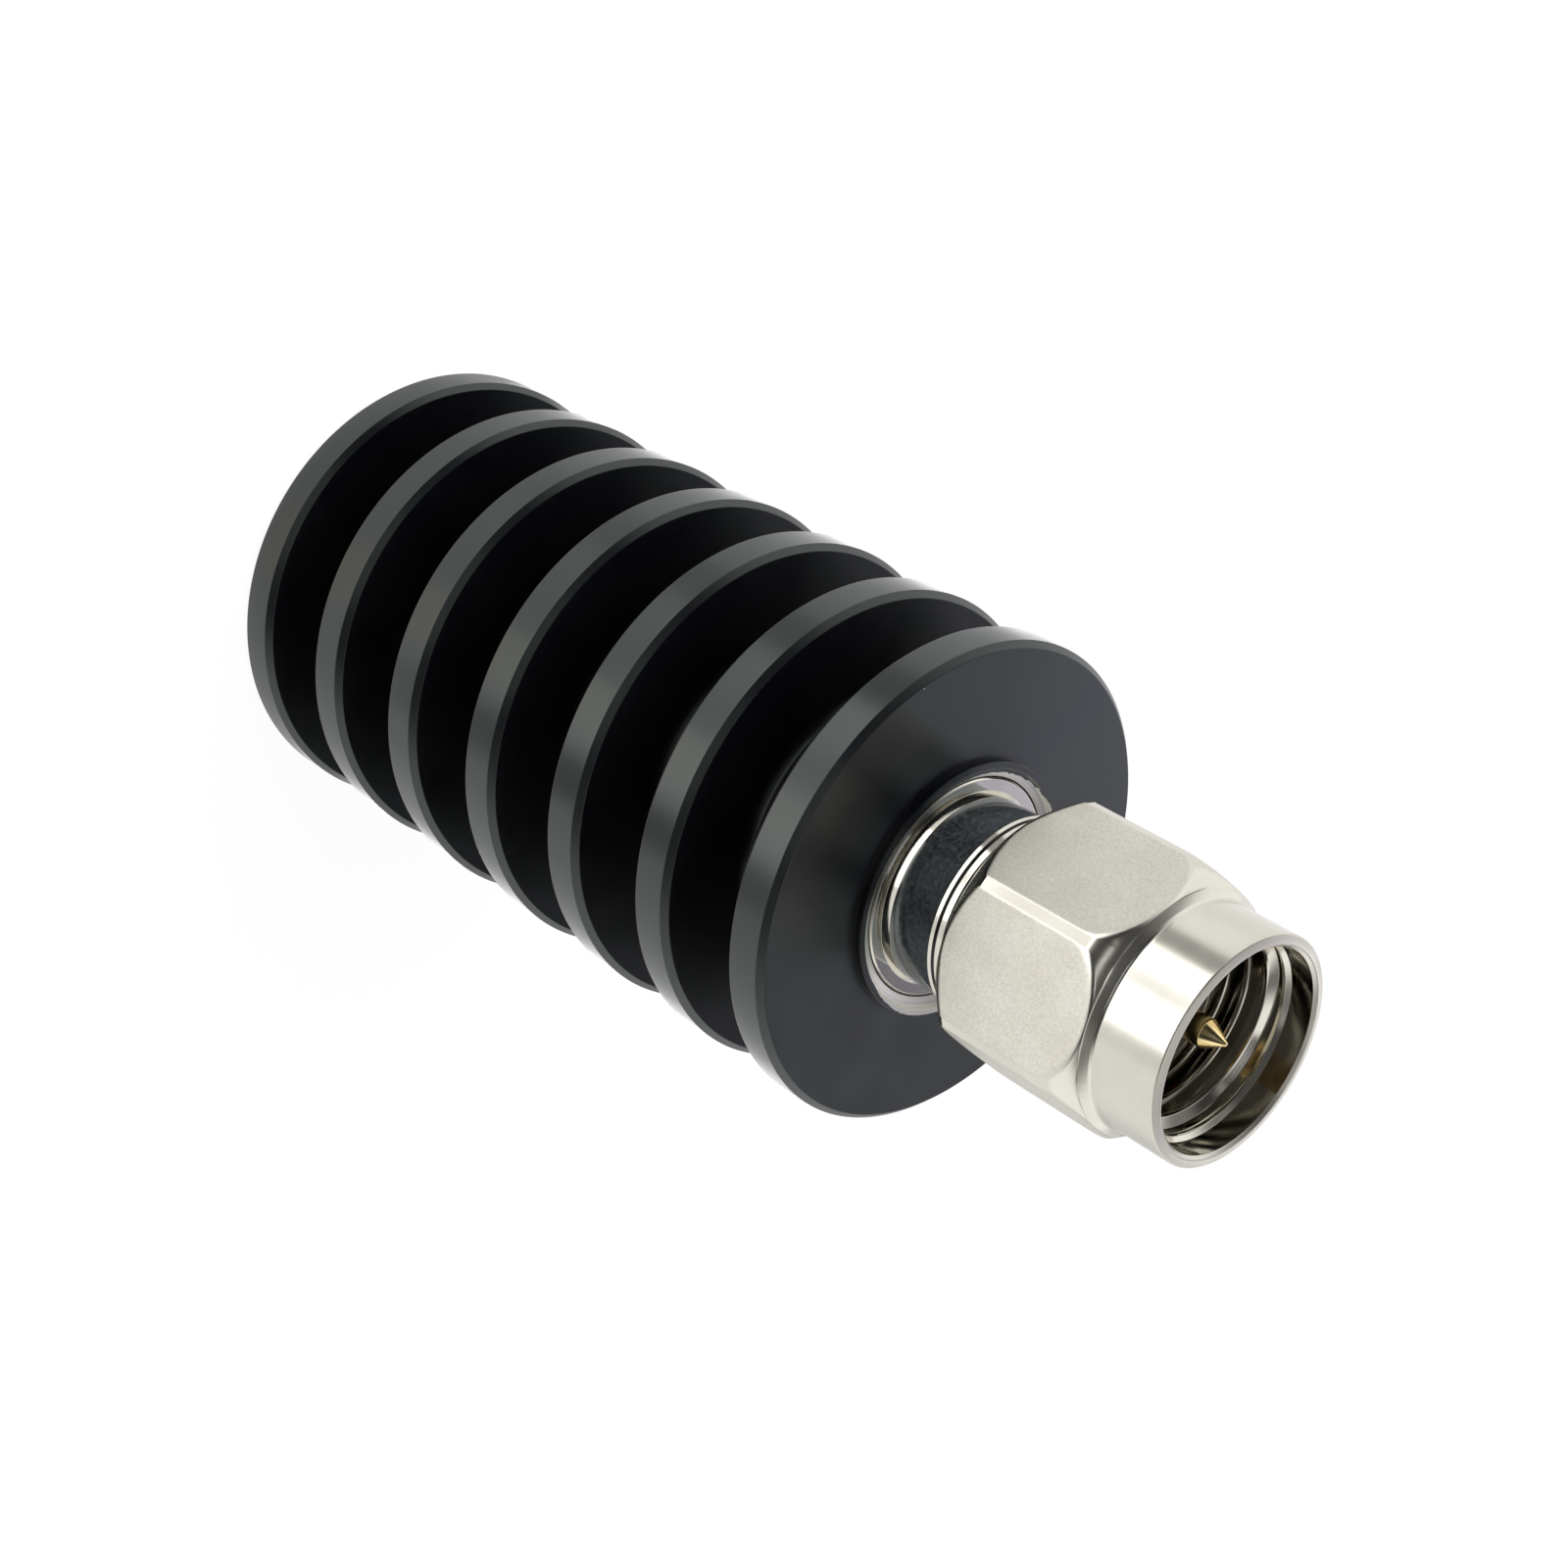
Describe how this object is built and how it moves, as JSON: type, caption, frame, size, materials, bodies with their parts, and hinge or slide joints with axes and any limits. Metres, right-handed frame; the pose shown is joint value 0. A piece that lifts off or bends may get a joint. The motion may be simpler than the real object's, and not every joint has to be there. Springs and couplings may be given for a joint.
{
  "type": "finned coaxial termination",
  "caption": "Round black finned heat sink on a screw-on coaxial plug with a hexagonal coupling nut, a one-port load that turns radio power into heat.",
  "frame": {"origin": "centre of the flat rear face of the heat sink, where the part stands", "axes": "+Z along the turned axis, from the rear face to the mouth of the coupling nut; -Y is the side that the picture shows"},
  "size_m": [0.016, 0.016, 0.0388],
  "materials": {
    "heat_sink": "black anodised, satin",
    "connector_shell": "bright nickel plate on brass",
    "coupling_nut": "satin nickel plate on brass",
    "snap_ring": "bright bronze",
    "gasket": "matte silicone rubber",
    "insulator": "dark glass-filled polymer",
    "gold_pin": "gold plate on beryllium copper",
    "end_cap": "gold plate on brass",
    "resistor": "dark resistive film on alumina",
    "load_sleeve": "bare turned brass",
    "spring_steel": "ground spring steel",
    "rear_plug": "bare turned brass"
  },
  "bodies": {
    "load": {"heat_sink": "heat_sink", "connector_shell": "connector_shell", "snap_ring": "snap_ring", "gasket": "gasket", "insulator": "insulator", "centre_pin": "gold_pin", "front_cap": "end_cap", "resistor_rod": "resistor", "rear_cap": "end_cap", "taper_sleeve": "load_sleeve", "disc_spring": "spring_steel", "rear_plug": "rear_plug"},
    "nut": {"coupling_nut": "coupling_nut"}
  },
  "joints": [
    {"name": "nut_spin", "type": "hinge", "parent": "load", "child": "nut", "pos_m": [0, 0, 0.0325], "axis": [0, 0, 1], "continuous": true}
  ]
}
